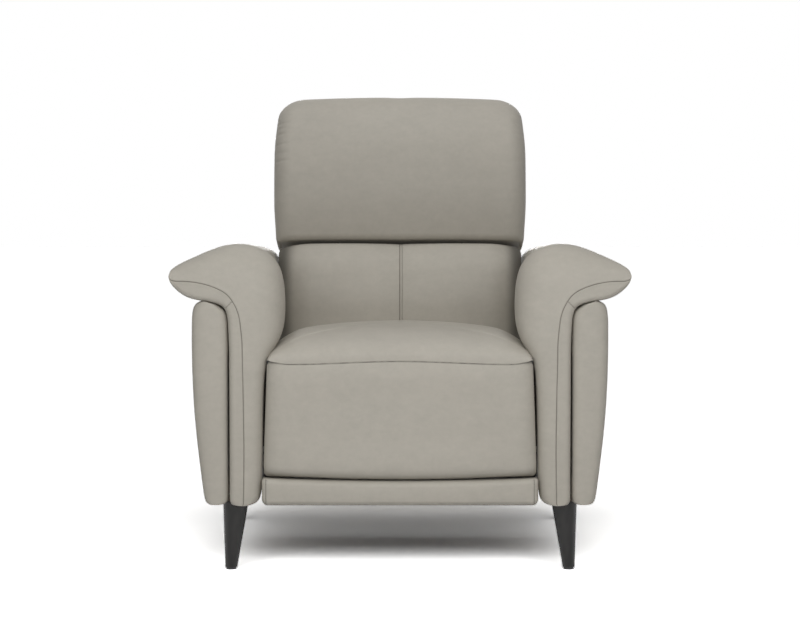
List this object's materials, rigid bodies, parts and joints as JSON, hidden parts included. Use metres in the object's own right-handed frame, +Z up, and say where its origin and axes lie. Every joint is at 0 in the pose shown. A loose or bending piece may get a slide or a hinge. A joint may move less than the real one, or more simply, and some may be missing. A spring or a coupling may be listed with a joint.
{
  "type": "power recliner",
  "caption": "Power recliner with winged arms, a sewn-on legrest over a sliding foot bar, a channelled reclining back, a tilting headrest and tapered black legs.",
  "frame": {"origin": "on the floor at the middle of the footprint", "axes": "+Z up, the chair faces -Y, +X to the seated person's left"},
  "size_m": [0.9676, 0.8538, 1.0428],
  "materials": {
    "leather": "satin",
    "frame_wood": "raw",
    "leg_black": "satin lacquer",
    "rear_lining": "covered board",
    "webbing": "woven",
    "black_steel": "satin",
    "bright_steel": "zinc plated",
    "chromed_rod": "polished",
    "drive_plastic": "matte",
    "black_plastic": "matte",
    "button_plastic": "gloss"
  },
  "bodies": {
    "frame": {"arm_pad_left": "leather", "arm_pad_right": "leather", "arm_cover_left": "leather", "arm_cover_right": "leather", "seat_cushion": "leather", "arm_frame_left": "frame_wood", "arm_frame_right": "frame_wood", "seat_side_rails": "frame_wood", "seat_front_rail": "frame_wood", "seat_rear_rail": "frame_wood", "seat_nose_board": "frame_wood", "front_leg_left": "leg_black", "front_leg_right": "leg_black", "rear_leg_left": "leg_black", "rear_leg_right": "leg_black", "rear_panel": "rear_lining", "seat_webbing": "webbing", "leg_plates": "black_steel", "cross_tubes": "black_steel", "legrest_clevis": "black_steel", "recline_clevis": "black_steel", "back_hinge_brackets": "black_steel", "legrest_hinge_fixed_leaf": "bright_steel", "legrest_hinge_pin": "bright_steel", "legrest_actuator": "drive_plastic", "recline_actuator": "drive_plastic", "legrest_motor": "drive_plastic", "recline_motor": "drive_plastic", "leg_glides": "black_plastic", "power_inlet": "black_plastic", "control_bezel": "black_plastic", "switch_box": "black_plastic"},
    "legrest": {"legrest_hinge_moving_leaf": "bright_steel", "legrest_board": "frame_wood", "legrest_pad": "leather", "legrest_horn": "black_steel", "foot_guides": "black_steel"},
    "foot_bar": {"foot_board": "frame_wood", "foot_pad": "leather", "foot_rods": "chromed_rod"},
    "legrest_drive": {"legrest_drive_rod": "chromed_rod"},
    "back": {"back_frame": "frame_wood", "back_webbing": "webbing", "back_cushion": "leather", "back_shell": "leather", "recline_horn": "black_steel", "back_hinge_plates": "black_steel", "headrest_brackets": "black_steel", "headrest_actuator": "drive_plastic", "headrest_motor": "drive_plastic"},
    "recline_drive": {"recline_drive_rod": "chromed_rod"},
    "headrest": {"headrest_pad": "leather", "headrest_board": "frame_wood", "headrest_arms": "black_steel", "headrest_horn": "black_steel"},
    "headrest_drive": {"headrest_drive_rod": "chromed_rod"},
    "button_open_cap": {"button_open": "button_plastic"},
    "button_close_cap": {"button_close": "button_plastic"},
    "button_headrest_up_cap": {"button_headrest_up": "button_plastic"},
    "button_headrest_down_cap": {"button_headrest_down": "button_plastic"}
  },
  "joints": [
    {"name": "legrest_hinge", "type": "hinge", "parent": "frame", "child": "legrest", "pos_m": [0, -0.4149, 0.442], "axis": [-1, 0, 0], "range_deg": [0, 85]},
    {"name": "foot_slide", "type": "slide", "parent": "legrest", "child": "foot_bar", "axis": [0, 0, -1], "range_m": [0, 0.14]},
    {"name": "legrest_push", "type": "slide", "parent": "frame", "child": "legrest_drive", "axis": [0, -1, 0], "range_m": [0, 0.136]},
    {"name": "recline", "type": "hinge", "parent": "frame", "child": "back", "pos_m": [0, 0.1961, 0.4], "axis": [-1, 0, 0], "range_deg": [0, 36]},
    {"name": "recline_pull", "type": "slide", "parent": "frame", "child": "recline_drive", "axis": [0, -1, 0], "range_m": [0, 0.07148]},
    {"name": "headrest_tilt", "type": "hinge", "parent": "back", "child": "headrest", "pos_m": [0, 0.21466, 0.71613], "axis": [1, 0, 0], "range_deg": [0, 40]},
    {"name": "headrest_push", "type": "slide", "parent": "back", "child": "headrest_drive", "axis": [0, 0.2756, 0.9613], "range_m": [0, 0.09121]},
    {"name": "button_open_press", "type": "slide", "parent": "frame", "child": "button_open_cap", "axis": [1, 0, 0], "range_m": [0, 0.0015], "stiffness_N_per_m": 300},
    {"name": "button_close_press", "type": "slide", "parent": "frame", "child": "button_close_cap", "axis": [1, 0, 0], "range_m": [0, 0.0015], "stiffness_N_per_m": 300},
    {"name": "button_headrest_up_press", "type": "slide", "parent": "frame", "child": "button_headrest_up_cap", "axis": [1, 0, 0], "range_m": [0, 0.0015], "stiffness_N_per_m": 300},
    {"name": "button_headrest_down_press", "type": "slide", "parent": "frame", "child": "button_headrest_down_cap", "axis": [1, 0, 0], "range_m": [0, 0.0015], "stiffness_N_per_m": 300}
  ],
  "couplings": [
    {"joint": "foot_slide", "follows": "legrest_hinge", "m_per_rad": 0.094369},
    {"joint": "legrest_push", "follows": "legrest_hinge", "m_per_rad": 0.091673},
    {"joint": "recline_pull", "follows": "recline", "m_per_rad": 0.11377},
    {"joint": "headrest_push", "follows": "headrest_tilt", "m_per_rad": 0.13065}
  ]
}
